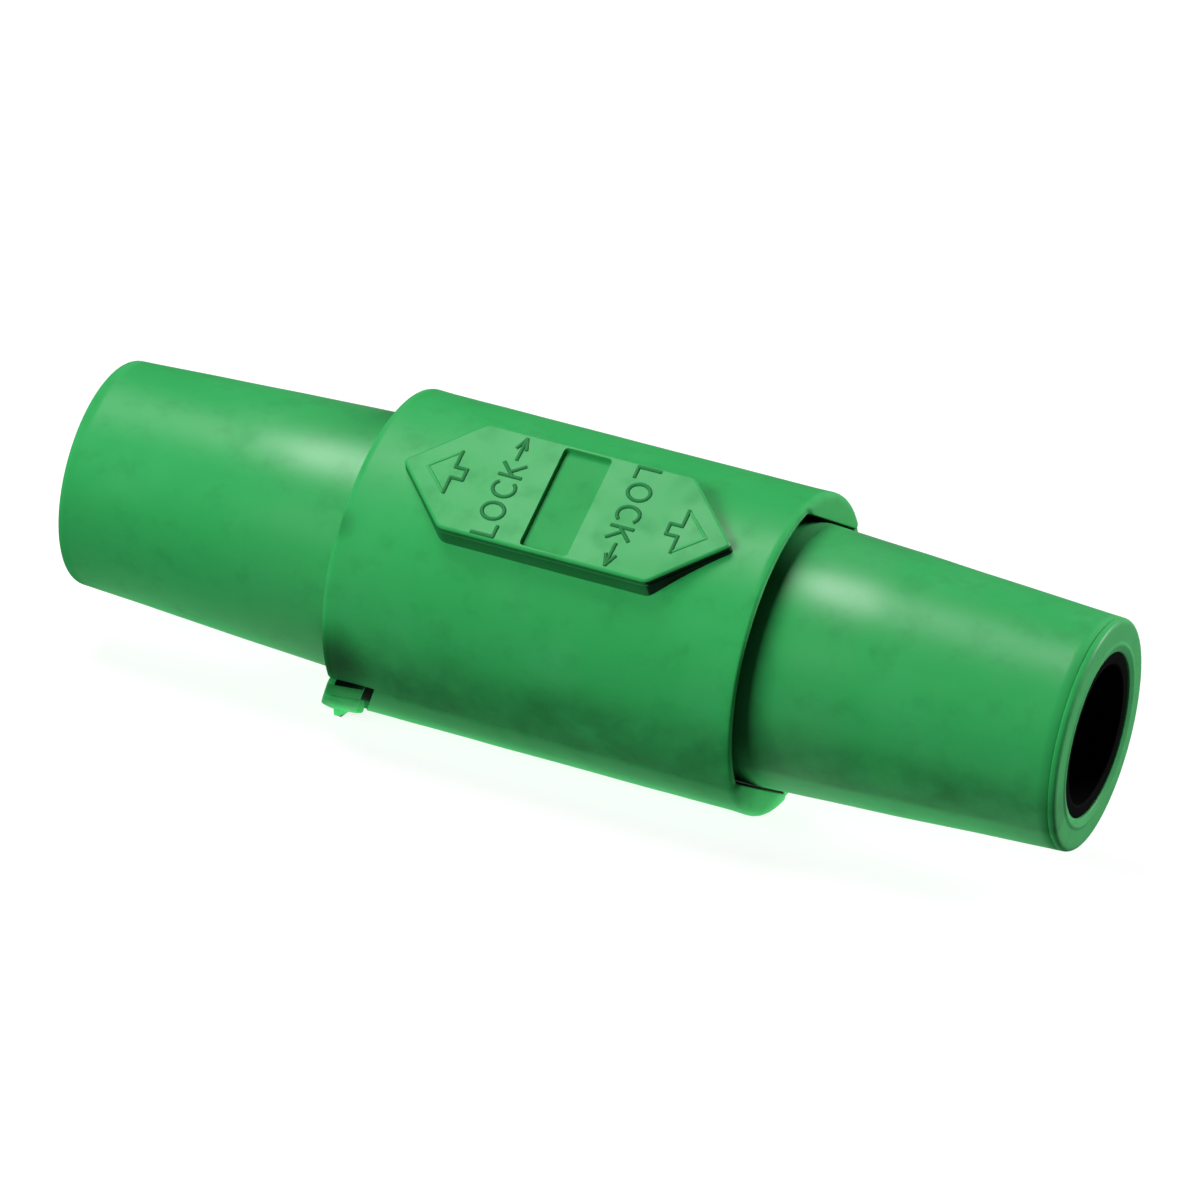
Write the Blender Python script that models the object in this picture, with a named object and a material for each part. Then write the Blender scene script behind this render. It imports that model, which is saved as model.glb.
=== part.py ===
"""Cam-lock gender changer with a socket at each end.

A brass bar bored from both ends is held between two rubber noses, and a thick rubber sleeve
with a raised grip pad joins them. But for the key of the left-hand nose, which stands in a
notch of the sleeve, a half turn about the pad's normal brings the adapter back to itself.

Each piece is modelled about the X axis with the pad facing +Z. The empty named rest then
rolls the whole adapter to the way it lies on a table, on its sleeve and on the key's catch.
"""
import math

import bmesh
import bpy
from mathutils import Matrix, Vector

MM = 0.001

# Fits between neighbouring pieces
SEAT_GAP = 0.3 * MM

# Centre sleeve
SLEEVE_RADIUS = 22.25 * MM
SLEEVE_LENGTH = 60.0 * MM
SLEEVE_RIM_ROUND = 0.8 * MM
SLEEVE_RIB_HEIGHT = 1.4 * MM
SLEEVE_RIB_WIDTH = 3.0 * MM
SLEEVE_RIB_PLACE = 12.0 * MM

# End pockets of the sleeve, round at the sides and flat above and below the nose
POCKET_DEPTH = 8.0 * MM
POCKET_CHEEK_WALL = 3.85 * MM
POCKET_LIP_WALL = 1.15 * MM
POCKET_LIP_SETBACK = 0.55 * MM
POCKET_LIP_INSET = 0.3 * MM
POCKET_TURN = math.radians(29.5)

# Grip pad on the sleeve, a long hexagon
PAD_HEIGHT = 1.5 * MM
PAD_LENGTH = 47.5 * MM
PAD_STRAIGHT_LENGTH = 30.0 * MM
PAD_WIDTH = 17.3 * MM
PAD_CORNER_ROUND = 1.0 * MM
PAD_EDGE_ROUND = 0.4 * MM
PAD_FOOT_SPREAD = 0.8 * MM
PAD_FOOT_TOP = 1.0 * MM
PAD_FOOT_SINK = 0.5 * MM
PANEL_LENGTH = 6.9 * MM
PANEL_WIDTH = 16.1 * MM
PANEL_DEPTH = 0.35 * MM
PANEL_CORNER_ROUND = 0.6 * MM

# Noses
NOSE_REACH = 72.7 * MM
NOSE_TAPER = 2.3 * MM
NOSE_TIP_ROUND = 1.0 * MM
NOSE_TIP_WALL = 4.55 * MM
NOSE_ROOT_STEP = 0.8 * MM
LIP_WIDTH = 1.55 * MM
LIP_HEIGHT = 0.2 * MM
LIP_CHAMFER = 0.35 * MM

# Key of the left-hand nose, in a notch of the sleeve's rim, with slanted ends
KEY_START = 24.2 * MM
KEY_OVERHANG = 2.2 * MM
KEY_WIDTH = 14.4 * MM
KEY_TURN = math.radians(-107.5)
KEY_END_SLANT = math.radians(21)
KEY_FAR_SLANT = math.radians(10)
KEY_ROOT_BEND = 4.7 * MM
KEY_THICKNESS = 1.9 * MM
KEY_STAND = 0.25 * MM
KEY_RISE = 0.8 * MM
KEY_WEB_SETBACK = 2.5 * MM
KEY_NOTCH_RELIEF = 1.5 * MM
CATCH_HEIGHT = 1.75 * MM
CATCH_RAMP_LENGTH = 0.55 * MM
CATCH_CREST_SETBACK = 1.4 * MM
CATCH_WIDTH = 3.0 * MM
CATCH_CREST_WIDTH = 1.8 * MM
CATCH_OFFSET = math.radians(-11)

# Brass contact bar
CONTACT_WALL = 3.0 * MM
CONTACT_BORE_DEPTH = 44.0 * MM
CONTACT_RECESS = 12.0 * MM
CONTACT_MOUTH_CHAMFER = 0.6 * MM
CONTACT_FLANGE_HEIGHT = 2.0 * MM
CONTACT_FLANGE_WIDTH = 4.0 * MM
DRILL_POINT_ANGLE = math.radians(118)

# Steel cam pins across the bores
CAM_PIN_RADIUS = 2.0 * MM
CAM_PIN_SETBACK = 15.0 * MM
CAM_PIN_CHAMFER = 0.3 * MM

# Black guard rings in the mouths
GUARD_WALL = 1.45 * MM
GUARD_FACE_SETBACK = 0.4 * MM
GUARD_CHAMFER = 0.3 * MM

# Facets round each kind of piece
SLEEVE_SIDES = 72
NOSE_SIDES = 64
CONTACT_SIDES = 48
PIN_SIDES = 20
ARC_STEPS = 3

# Sizes that follow from the ones above
SLEEVE_END = SLEEVE_LENGTH / 2
POCKET_FLOOR = SLEEVE_END - POCKET_DEPTH
POCKET_RADIUS = SLEEVE_RADIUS - POCKET_LIP_WALL
POCKET_FLAT = SLEEVE_RADIUS - POCKET_CHEEK_WALL
PAD_TOP = SLEEVE_RADIUS + PAD_HEIGHT
NOSE_BASE_RADIUS = POCKET_FLAT - SEAT_GAP
NOSE_TIP_RADIUS = NOSE_BASE_RADIUS - NOSE_TAPER
NOSE_BORE_RADIUS = NOSE_TIP_RADIUS - NOSE_TIP_WALL
LIP_RADIUS = NOSE_BORE_RADIUS + LIP_WIDTH
ROOT_RADIUS = NOSE_BASE_RADIUS - NOSE_ROOT_STEP
SLEEVE_BORE_RADIUS = ROOT_RADIUS + SEAT_GAP
RIB_RADIUS = SLEEVE_BORE_RADIUS - SLEEVE_RIB_HEIGHT
CONTACT_RADIUS = NOSE_BORE_RADIUS - SEAT_GAP
CONTACT_BORE_RADIUS = CONTACT_RADIUS - CONTACT_WALL
CONTACT_END = NOSE_REACH - CONTACT_RECESS
CAM_PIN_OFFSET = CONTACT_BORE_RADIUS
CATCH_RADIUS = SLEEVE_RADIUS + CATCH_HEIGHT
CATCH_TURN = KEY_TURN + CATCH_OFFSET
KEY_END = SLEEVE_END + KEY_OVERHANG
KEY_WEB_END = SLEEVE_END - KEY_WEB_SETBACK
CATCH_CREST_START = KEY_END - CATCH_CREST_SETBACK
OVERCUT = 5 * MM
TINY = 0.001 * MM


def clear_scene():
    for old in list(bpy.data.objects):
        bpy.data.objects.remove(old)


def make_material(name, color, roughness, metallic=0.0):
    material = bpy.data.materials.new(name)
    material.use_nodes = True
    shader = material.node_tree.nodes["Principled BSDF"]
    shader.inputs["Base Color"].default_value = (*color, 1.0)
    shader.inputs["Roughness"].default_value = roughness
    shader.inputs["Metallic"].default_value = metallic
    material.diffuse_color = (*color, 1.0)
    return material


def new_object(name, mesh_data, material, smooth_angle=35):
    """Make an object from a bmesh, with its sharp edges marked by angle."""
    mesh = bpy.data.meshes.new(name)
    mesh_data.to_mesh(mesh)
    mesh_data.free()
    mesh.shade_smooth()
    mesh.set_sharp_from_angle(angle=math.radians(smooth_angle))
    if material:
        mesh.materials.append(material)
    obj = bpy.data.objects.new(name, mesh)
    bpy.context.collection.objects.link(obj)
    return obj


def arc(centre_x, centre_r, radius, start, end):
    """Points on an arc in the (x, r) plane, with angles in degrees from +x."""
    steps = [start + (end - start) * i / ARC_STEPS for i in range(ARC_STEPS + 1)]
    return [(centre_x + radius * math.cos(math.radians(a)),
             centre_r + radius * math.sin(math.radians(a))) for a in steps]


def turned(outline, sides, closed):
    """Spin an (x, r) outline about the X axis into a closed body."""
    mesh_data = bmesh.new()
    verts = [mesh_data.verts.new((x, 0, r)) for x, r in outline]
    pairs = list(zip(verts, verts[1:]))
    if closed:
        pairs.append((verts[-1], verts[0]))
    edges = [mesh_data.edges.new(pair) for pair in pairs]
    bmesh.ops.spin(mesh_data, geom=verts + edges, cent=(0, 0, 0), axis=(1, 0, 0),
                   angle=math.tau, steps=sides, use_merge=True)
    bmesh.ops.remove_doubles(mesh_data, verts=mesh_data.verts, dist=TINY)
    bmesh.ops.recalc_face_normals(mesh_data, faces=mesh_data.faces)
    return mesh_data


def extruded(outline, depth):
    """Extrude a closed outline of 3-D points along the vector depth."""
    mesh_data = bmesh.new()
    face = mesh_data.faces.new([mesh_data.verts.new(point) for point in outline])
    sweep = bmesh.ops.extrude_face_region(mesh_data, geom=[face], use_keep_orig=True)
    moved = [item for item in sweep["geom"] if isinstance(item, bmesh.types.BMVert)]
    bmesh.ops.translate(mesh_data, verts=moved, vec=depth)
    bmesh.ops.recalc_face_normals(mesh_data, faces=mesh_data.faces)
    return mesh_data


def lofted(rings):
    """Bridge closed rings with equal numbers of points and cap the first and the last."""
    mesh_data = bmesh.new()
    loops = []
    for ring in rings:
        verts = [mesh_data.verts.new(point) for point in ring]
        loops.append([mesh_data.edges.new((verts[i - 1], verts[i])) for i in range(len(verts))])
    for lower, upper in zip(loops, loops[1:]):
        bmesh.ops.bridge_loops(mesh_data, edges=lower + upper)
    for end in (loops[0], loops[-1]):
        bmesh.ops.edgeloop_fill(mesh_data, edges=end)
    bmesh.ops.recalc_face_normals(mesh_data, faces=mesh_data.faces)
    return mesh_data


def turn_about_axis(obj, angle):
    obj.data.transform(Matrix.Rotation(angle, 4, "X"))


def turn_end_for_end(obj):
    """Take a piece from the right end to the left: a half turn about the pad's normal."""
    obj.data.transform(Matrix.Rotation(math.pi, 4, "Z"))


def apply_boolean(obj, tool, operation):
    """Join or cut with another object, which stays in the file as a hidden guide."""
    modifier = obj.modifiers.new(tool.name, "BOOLEAN")
    modifier.operation = operation
    modifier.solver = "EXACT"
    modifier.object = tool
    tool.hide_render = True
    tool.display_type = "WIRE"


def rounded_polygon(corners, radius, height):
    """A closed outline at one height, with an arc at each corner."""
    points = []
    for i, corner in enumerate(corners):
        before = (corners[i - 1] - corner).normalized()
        after = (corners[(i + 1) % len(corners)] - corner).normalized()
        half_angle = before.angle(after) / 2
        centre = corner + (before + after).normalized() * radius / math.sin(half_angle)
        first = corner + before * radius / math.tan(half_angle) - centre
        last = corner + after * radius / math.tan(half_angle) - centre
        for step in range(ARC_STEPS + 1):
            on_arc = centre + first.lerp(last, step / ARC_STEPS).normalized() * radius
            points.append((on_arc.x, on_arc.y, height))
    return points


def pad_outline(spread, height):
    """The pad's hexagon, grown outwards by spread."""
    half_length = PAD_LENGTH / 2 + spread * math.sqrt(2)
    half_straight = PAD_STRAIGHT_LENGTH / 2 + spread * math.tan(math.pi / 8)
    half_width = PAD_WIDTH / 2 + spread
    corners = [Vector(c) for c in ((half_length, 0), (half_straight, half_width),
                                   (-half_straight, half_width), (-half_length, 0),
                                   (-half_straight, -half_width), (half_straight, -half_width))]
    return rounded_polygon(corners, PAD_CORNER_ROUND + spread, height)


def make_pad():
    """The pad with a spreading foot, which shows only where the round sleeve falls away."""
    foot_reach = PAD_WIDTH / 2 + PAD_FOOT_SPREAD
    foot_low = math.sqrt(SLEEVE_RADIUS ** 2 - foot_reach ** 2) - PAD_FOOT_SINK
    rings = [pad_outline(PAD_FOOT_SPREAD, foot_low), pad_outline(0, SLEEVE_RADIUS - PAD_FOOT_TOP)]
    for step in range(ARC_STEPS + 1):
        angle = math.pi / 2 * step / ARC_STEPS
        rings.append(pad_outline(PAD_EDGE_ROUND * (math.cos(angle) - 1),
                                 PAD_TOP - PAD_EDGE_ROUND * (1 - math.sin(angle))))
    return new_object("guide_pad", lofted(rings), None)


def make_panel_cutter():
    """The shallow bare panel across the middle of the pad."""
    half_x = PANEL_LENGTH / 2
    half_y = PANEL_WIDTH / 2
    corners = [Vector(c) for c in ((half_x, half_y), (-half_x, half_y),
                                   (-half_x, -half_y), (half_x, -half_y))]
    outline = rounded_polygon(corners, PANEL_CORNER_ROUND, PAD_TOP - PANEL_DEPTH)
    return new_object("guide_panel", extruded(outline, (0, 0, OVERCUT)), None)


def make_lip_cutter():
    """What sets a pocket's thin lips, at its round sides, back from the thick cheeks."""
    half_width = POCKET_FLAT - POCKET_LIP_INSET
    across = SLEEVE_RADIUS + OVERCUT
    outline = [(SLEEVE_END - POCKET_LIP_SETBACK, y, z)
               for y, z in ((-half_width, -across), (half_width, -across),
                            (half_width, across), (-half_width, across))]
    cutter = new_object("guide_lips_right", extruded(outline, (OVERCUT, 0, 0)), None)
    turn_about_axis(cutter, POCKET_TURN)
    return cutter


def make_pocket_cutter():
    """The double-D pocket of the right end: two round sides and two flats."""
    half_span = math.acos(POCKET_FLAT / POCKET_RADIUS)
    side_steps = SLEEVE_SIDES // 3
    outline = []
    for middle in (0, math.pi):
        first = middle - (math.pi / 2 - half_span)
        for step in range(side_steps + 1):
            angle = first + (math.pi - 2 * half_span) * step / side_steps
            outline.append((POCKET_FLOOR, POCKET_RADIUS * math.sin(angle),
                            POCKET_RADIUS * math.cos(angle)))
    cutter = new_object("guide_pocket_right", extruded(outline, (POCKET_DEPTH + OVERCUT, 0, 0)), None)
    turn_about_axis(cutter, POCKET_TURN)
    return cutter


def bent_block(outline, floor_radius, top_radius, cuts):
    """A block bent round the axis, from floor_radius(x) up to top_radius(x, y).

    Its outline is drawn flat, with y as the length round the sleeve from the +Z side.
    """
    mesh_data = extruded([(x, y, 0) for x, y in outline], (0, 0, 1))
    for axis, places in enumerate(cuts):
        normal = [0, 0, 0]
        normal[axis] = 1
        for place in places:
            point = [0, 0, 0]
            point[axis] = place
            geometry = mesh_data.verts[:] + mesh_data.edges[:] + mesh_data.faces[:]
            bmesh.ops.bisect_plane(mesh_data, geom=geometry, plane_co=point, plane_no=normal)
    for vert in mesh_data.verts:
        x, y = vert.co.x, vert.co.y
        radius = top_radius(x, y) if vert.co.z > 0.5 else floor_radius(x)
        angle = y / SLEEVE_RADIUS
        vert.co = (x, -radius * math.sin(angle), radius * math.cos(angle))
    mesh_data.normal_update()
    bmesh.ops.recalc_face_normals(mesh_data, faces=mesh_data.faces)
    return mesh_data


def key_cuts(half_width):
    """Places across the key or its notch, as lengths round the sleeve."""
    return [half_width * (i / 4 - 1) for i in range(1, 8)]


def root_edge(start, half_width):
    """The root of the key or its notch, slanted from the near side to a bend past the middle."""
    shallowest = start + (half_width + KEY_ROOT_BEND) * math.tan(KEY_END_SLANT)
    return [(start, half_width), (shallowest, -KEY_ROOT_BEND), (shallowest, -half_width)]


def key_top(x, y):
    """The key climbs a little towards its free end and carries a short catch there."""
    climb = (x - KEY_START) / (KEY_END - KEY_START)
    across = abs(y - CATCH_OFFSET * SLEEVE_RADIUS)
    if x > CATCH_CREST_START - TINY and across < CATCH_CREST_WIDTH / 2 + TINY:
        return CATCH_RADIUS
    return SLEEVE_RADIUS + KEY_STAND + KEY_RISE * climb


def key_floor(x):
    """The key grows from the nose inside the pocket and is a thin tongue past the rim."""
    return ROOT_RADIUS if x < KEY_WEB_END + TINY else SLEEVE_RADIUS - KEY_THICKNESS


def make_key():
    half_width = KEY_WIDTH / 2
    outline = root_edge(KEY_START, half_width)
    outline += [(KEY_END - half_width * math.tan(KEY_FAR_SLANT), -half_width), (KEY_END, 0),
                (KEY_END - half_width * math.tan(KEY_END_SLANT), half_width)]
    x_cuts = [KEY_WEB_END, KEY_WEB_END + KEY_THICKNESS, CATCH_CREST_START - CATCH_RAMP_LENGTH,
              CATCH_CREST_START]
    y_cuts = key_cuts(half_width)
    for width in (CATCH_WIDTH, CATCH_CREST_WIDTH):
        y_cuts += [CATCH_OFFSET * SLEEVE_RADIUS + side * width / 2 for side in (-1, 1)]
    key = new_object("guide_key", bent_block(outline, key_floor, key_top, (x_cuts, y_cuts)), None)
    turn_about_axis(key, KEY_TURN)
    turn_end_for_end(key)
    return key


def make_notch_cutter():
    half_width = KEY_WIDTH / 2 + SEAT_GAP
    outline = root_edge(KEY_START - KEY_NOTCH_RELIEF, half_width)
    outline += [(KEY_END + OVERCUT, -half_width), (KEY_END + OVERCUT, half_width)]
    cutter = new_object("guide_notch", bent_block(outline, lambda x: NOSE_BASE_RADIUS,
                                                  lambda x, y: SLEEVE_RADIUS + OVERCUT,
                                                  ((), key_cuts(half_width))), None)
    turn_about_axis(cutter, KEY_TURN)
    turn_end_for_end(cutter)
    return cutter


def twin(obj):
    """The left-hand copy of a right-hand guide."""
    copy = bpy.data.objects.new(obj.name.replace("right", "left"), obj.data.copy())
    bpy.context.collection.objects.link(copy)
    turn_end_for_end(copy)
    return copy


def make_sleeve(material):
    rib_left = SLEEVE_RIB_PLACE - SLEEVE_RIB_WIDTH / 2
    rib_right = SLEEVE_RIB_PLACE + SLEEVE_RIB_WIDTH / 2
    half = [(rib_left, SLEEVE_BORE_RADIUS), (rib_left, RIB_RADIUS), (rib_right, RIB_RADIUS),
            (rib_right, SLEEVE_BORE_RADIUS), (SLEEVE_END, SLEEVE_BORE_RADIUS)]
    half += arc(SLEEVE_END - SLEEVE_RIM_ROUND, SLEEVE_RADIUS - SLEEVE_RIM_ROUND,
                SLEEVE_RIM_ROUND, 0, 90)
    outline = half + [(-x, r) for x, r in reversed(half)]
    sleeve = new_object("centre_sleeve", turned(outline, SLEEVE_SIDES, closed=True), material)
    apply_boolean(sleeve, make_pad(), "UNION")
    apply_boolean(sleeve, make_panel_cutter(), "DIFFERENCE")
    for cutter in (make_lip_cutter(), make_pocket_cutter()):
        apply_boolean(sleeve, cutter, "DIFFERENCE")
        apply_boolean(sleeve, twin(cutter), "DIFFERENCE")
    apply_boolean(sleeve, make_notch_cutter(), "DIFFERENCE")
    return sleeve


def make_nose(name, material):
    """The right-hand nose, from its root in the sleeve to the raised lip, with no key yet."""
    inner_end = SEAT_GAP / 2
    flange_seat = CONTACT_FLANGE_WIDTH / 2 + SEAT_GAP
    flange_radius = CONTACT_RADIUS + CONTACT_FLANGE_HEIGHT + SEAT_GAP
    groove_left = SLEEVE_RIB_PLACE - SLEEVE_RIB_WIDTH / 2 - SEAT_GAP
    groove_right = SLEEVE_RIB_PLACE + SLEEVE_RIB_WIDTH / 2 + SEAT_GAP
    groove_radius = RIB_RADIUS - SEAT_GAP
    shoulder = POCKET_FLOOR + SEAT_GAP
    lip_top = NOSE_REACH + LIP_HEIGHT
    outline = [(flange_seat, NOSE_BORE_RADIUS), (flange_seat, flange_radius),
               (inner_end, flange_radius), (inner_end, ROOT_RADIUS),
               (groove_left, ROOT_RADIUS), (groove_left, groove_radius),
               (groove_right, groove_radius), (groove_right, ROOT_RADIUS),
               (shoulder, ROOT_RADIUS), (shoulder, NOSE_BASE_RADIUS),
               (SLEEVE_END, NOSE_BASE_RADIUS)]
    outline += reversed(arc(NOSE_REACH - NOSE_TIP_ROUND, NOSE_TIP_RADIUS - NOSE_TIP_ROUND,
                            NOSE_TIP_ROUND, 0, 90))
    outline += [(NOSE_REACH, LIP_RADIUS), (lip_top, LIP_RADIUS - LIP_HEIGHT),
                (lip_top, NOSE_BORE_RADIUS + LIP_CHAMFER), (lip_top - LIP_CHAMFER, NOSE_BORE_RADIUS)]
    return new_object(name, turned(outline, NOSE_SIDES, closed=True), material)


def make_guard_ring(name, material):
    """A black ring in the mouth, in front of the contact's face."""
    inner = CONTACT_END + SEAT_GAP
    front = NOSE_REACH - GUARD_FACE_SETBACK
    bore = CONTACT_RADIUS - GUARD_WALL
    outline = [(inner, bore), (inner, CONTACT_RADIUS), (front - GUARD_CHAMFER, CONTACT_RADIUS),
               (front, CONTACT_RADIUS - GUARD_CHAMFER), (front, bore + GUARD_CHAMFER),
               (front - GUARD_CHAMFER, bore)]
    return new_object(name, turned(outline, CONTACT_SIDES, closed=True), material)


def make_contact_bar(material):
    """Turned brass, drilled from both ends and cross-drilled for the cam pins."""
    drill_tip = CONTACT_END - CONTACT_BORE_DEPTH
    drill_tip -= CONTACT_BORE_RADIUS / math.tan(DRILL_POINT_ANGLE / 2)
    chamfer = CONTACT_MOUTH_CHAMFER
    flange_edge = CONTACT_FLANGE_WIDTH / 2
    half = [(flange_edge, CONTACT_RADIUS + CONTACT_FLANGE_HEIGHT), (flange_edge, CONTACT_RADIUS),
            (CONTACT_END - chamfer, CONTACT_RADIUS), (CONTACT_END, CONTACT_RADIUS - chamfer),
            (CONTACT_END, CONTACT_BORE_RADIUS + chamfer), (CONTACT_END - chamfer, CONTACT_BORE_RADIUS),
            (CONTACT_END - CONTACT_BORE_DEPTH, CONTACT_BORE_RADIUS), (drill_tip, 0)]
    outline = [(-x, r) for x, r in reversed(half)] + half
    bar = new_object("contact_bar", turned(outline, CONTACT_SIDES, closed=False), material)
    hole = make_cam_pin("guide_pin_hole_right", None, CAM_PIN_RADIUS + SEAT_GAP, SEAT_GAP + OVERCUT)
    apply_boolean(bar, hole, "DIFFERENCE")
    apply_boolean(bar, twin(hole), "DIFFERENCE")
    return bar


def make_cam_pin(name, material, radius=CAM_PIN_RADIUS, extra_length=0.0):
    """A dowel across the right-hand bore, half of it standing in the bore's wall."""
    half_length = math.sqrt(CONTACT_RADIUS ** 2 - (CAM_PIN_OFFSET + CAM_PIN_RADIUS) ** 2)
    half_length += extra_length
    outline = [(-half_length, 0), (-half_length, radius - CAM_PIN_CHAMFER),
               (CAM_PIN_CHAMFER - half_length, radius), (half_length - CAM_PIN_CHAMFER, radius),
               (half_length, radius - CAM_PIN_CHAMFER), (half_length, 0)]
    pin = new_object(name, turned(outline, PIN_SIDES, closed=False), material)
    place = Matrix.Translation((CONTACT_END - CAM_PIN_SETBACK, 0, CAM_PIN_OFFSET))
    pin.data.transform(place @ Matrix.Rotation(math.pi / 2, 4, "Z"))
    return pin


def lay_on_table(pieces):
    """Parent the pieces to an empty that rolls the adapter on to its sleeve and the catch."""
    catch_edge = CATCH_TURN - CATCH_CREST_WIDTH / 2 / SLEEVE_RADIUS
    rest = bpy.data.objects.new("rest", None)
    rest.rotation_euler = (math.pi + catch_edge - math.acos(SLEEVE_RADIUS / CATCH_RADIUS), 0, 0)
    rest.location = (0, 0, SLEEVE_RADIUS)
    bpy.context.collection.objects.link(rest)
    for piece in pieces:
        piece.parent = rest


def build():
    clear_scene()
    green = make_material("green_rubber", (0.03, 0.30, 0.09), 0.42)
    black = make_material("black_nylon", (0.012, 0.012, 0.013), 0.4)
    brass = make_material("brass", (0.66, 0.47, 0.20), 0.32, 1.0)
    steel = make_material("pin_steel", (0.56, 0.56, 0.57), 0.28, 1.0)

    pieces = [make_sleeve(green), make_contact_bar(brass)]
    for side in ("right", "left"):
        nose = make_nose("nose_" + side, green)
        fittings = [make_guard_ring("guard_ring_" + side, black),
                    make_cam_pin("cam_pin_" + side, steel)]
        if side == "left":
            for piece in [nose] + fittings:
                turn_end_for_end(piece)
            apply_boolean(nose, make_key(), "UNION")
        pieces += [nose] + fittings
    guides = [obj for obj in bpy.data.objects if obj.name.startswith("guide_")]
    lay_on_table(pieces + guides)
    bpy.context.view_layer.update()


build()
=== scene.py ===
"""Looks of a cam-lock gender changer: green moulded rubber round a brass bar bored from both ends."""

import math

import bmesh
import bpy
from mathutils import Matrix, Vector, noise


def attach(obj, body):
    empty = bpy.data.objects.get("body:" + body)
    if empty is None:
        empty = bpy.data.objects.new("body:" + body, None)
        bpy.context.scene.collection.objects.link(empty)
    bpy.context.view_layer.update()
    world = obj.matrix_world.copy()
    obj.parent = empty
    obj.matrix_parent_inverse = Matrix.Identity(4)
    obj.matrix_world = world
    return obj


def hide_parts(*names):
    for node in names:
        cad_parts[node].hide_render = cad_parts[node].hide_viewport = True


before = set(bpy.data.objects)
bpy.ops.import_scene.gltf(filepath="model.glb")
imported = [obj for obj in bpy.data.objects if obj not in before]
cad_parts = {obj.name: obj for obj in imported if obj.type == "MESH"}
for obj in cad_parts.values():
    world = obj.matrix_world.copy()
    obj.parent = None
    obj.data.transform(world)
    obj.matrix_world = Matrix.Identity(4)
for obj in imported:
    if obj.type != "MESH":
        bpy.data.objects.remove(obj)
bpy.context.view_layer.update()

# Contact bar
# One turned brass bar, drilled from both ends, with a flange in the middle that the two noses
# grip. Fine tool rings run round it, and the drill has left a cone at the bottom of each bore.
BAR_RADIUS = 10.95
BAR_END = 60.7
BAR_EDGE = 0.6
BORE_RADIUS = 7.95
BORE_BOTTOM = 16.7
DRILL_CONE = 4.75
FLANGE_RADIUS = 12.95
FLANGE_HALF = 2.0
PIN_HOLE_RADIUS = 2.3
PIN_HOLE_HALF = 12.0
PIN_CENTRE = (45.7, 0, 8.0)
ACROSS_BORE = Matrix.Translation(PIN_CENTRE) @ Matrix.Rotation(math.pi / 2, 4, "Z")
ENDS = (("right", False), ("left", True))

# All pieces are drawn in millimetres about the X axis with the pad facing +Z, then rolled on to
# the sleeve and the catch, as the adapter lies on the table, and taken to metres.
LEAN = math.radians(37.17)
AXIS_HEIGHT = 22.25
TO_TABLE = (Matrix.Scale(0.001, 4) @ Matrix.Translation((0, 0, AXIS_HEIGHT))
            @ Matrix.Rotation(LEAN, 4, "X"))
END_FOR_END = Matrix.Rotation(math.pi, 4, "Z")


def placed_mesh(name, mesh_data, left=False):
    """A mesh in metres on the table, from a bmesh of the right end, turned round for the left."""
    bmesh.ops.recalc_face_normals(mesh_data, faces=mesh_data.faces)
    mesh = bpy.data.meshes.new(name)
    mesh_data.to_mesh(mesh)
    mesh_data.free()
    mesh.transform(TO_TABLE @ END_FOR_END if left else TO_TABLE)
    return mesh


def piece(name, mesh_data, material, replaced=None, crease=40, left=False):
    """A finished piece of the adapter, smooth but for edges sharper than the crease in degrees."""
    mesh = placed_mesh(name, mesh_data, left)
    mesh.shade_smooth()
    mesh.set_sharp_from_angle(angle=math.radians(crease))
    mesh.materials.append(material)
    obj = bpy.data.objects.new(name, mesh)
    bpy.context.collection.objects.link(obj)
    if replaced:
        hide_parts(replaced)
    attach(obj, "root")
    return obj


def eased_outline(corners, steps=5):
    """An outline through corners (x, y, reach), each rounded over its reach."""
    outline = []
    for i, (x, y, reach) in enumerate(corners):
        corner = Vector((x, y))
        before = (Vector(corners[i - 1][:2]) - corner).normalized() * reach
        after = (Vector(corners[(i + 1) % len(corners)][:2]) - corner).normalized() * reach
        for step in range(steps + 1 if reach else 1):
            t = step / steps
            outline.append(corner + before * (1 - t) ** 2 + after * t ** 2)
    return outline


def turned(outline, sides, closed=True):
    """Spin an (x, r) outline about the X axis."""
    mesh_data = bmesh.new()
    verts = [mesh_data.verts.new((x, 0, r)) for x, r in outline]
    edges = [mesh_data.edges.new(pair) for pair in zip(verts, verts[1:])]
    if closed:
        edges.append(mesh_data.edges.new((verts[-1], verts[0])))
    bmesh.ops.spin(mesh_data, geom=verts + edges, cent=(0, 0, 0), axis=(1, 0, 0),
                   angle=math.tau, steps=sides, use_merge=True)
    bmesh.ops.remove_doubles(mesh_data, verts=mesh_data.verts, dist=0.0005)
    return mesh_data


def cut_away(obj, tool_mesh, solver):
    """Cut a placed mesh out of a piece, and keep the piece's own material alone."""
    tool = bpy.data.objects.new("tool", tool_mesh)
    bpy.context.collection.objects.link(tool)
    cut = obj.modifiers.new("tool", "BOOLEAN")
    cut.object, cut.solver = tool, solver
    with bpy.context.temp_override(object=obj, active_object=obj):
        bpy.ops.object.modifier_apply(modifier="tool")
    bpy.data.objects.remove(tool)
    while len(obj.data.materials) > 1:
        obj.data.materials.pop()


def shader_of(material):
    return material.node_tree.nodes["Principled BSDF"]


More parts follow.
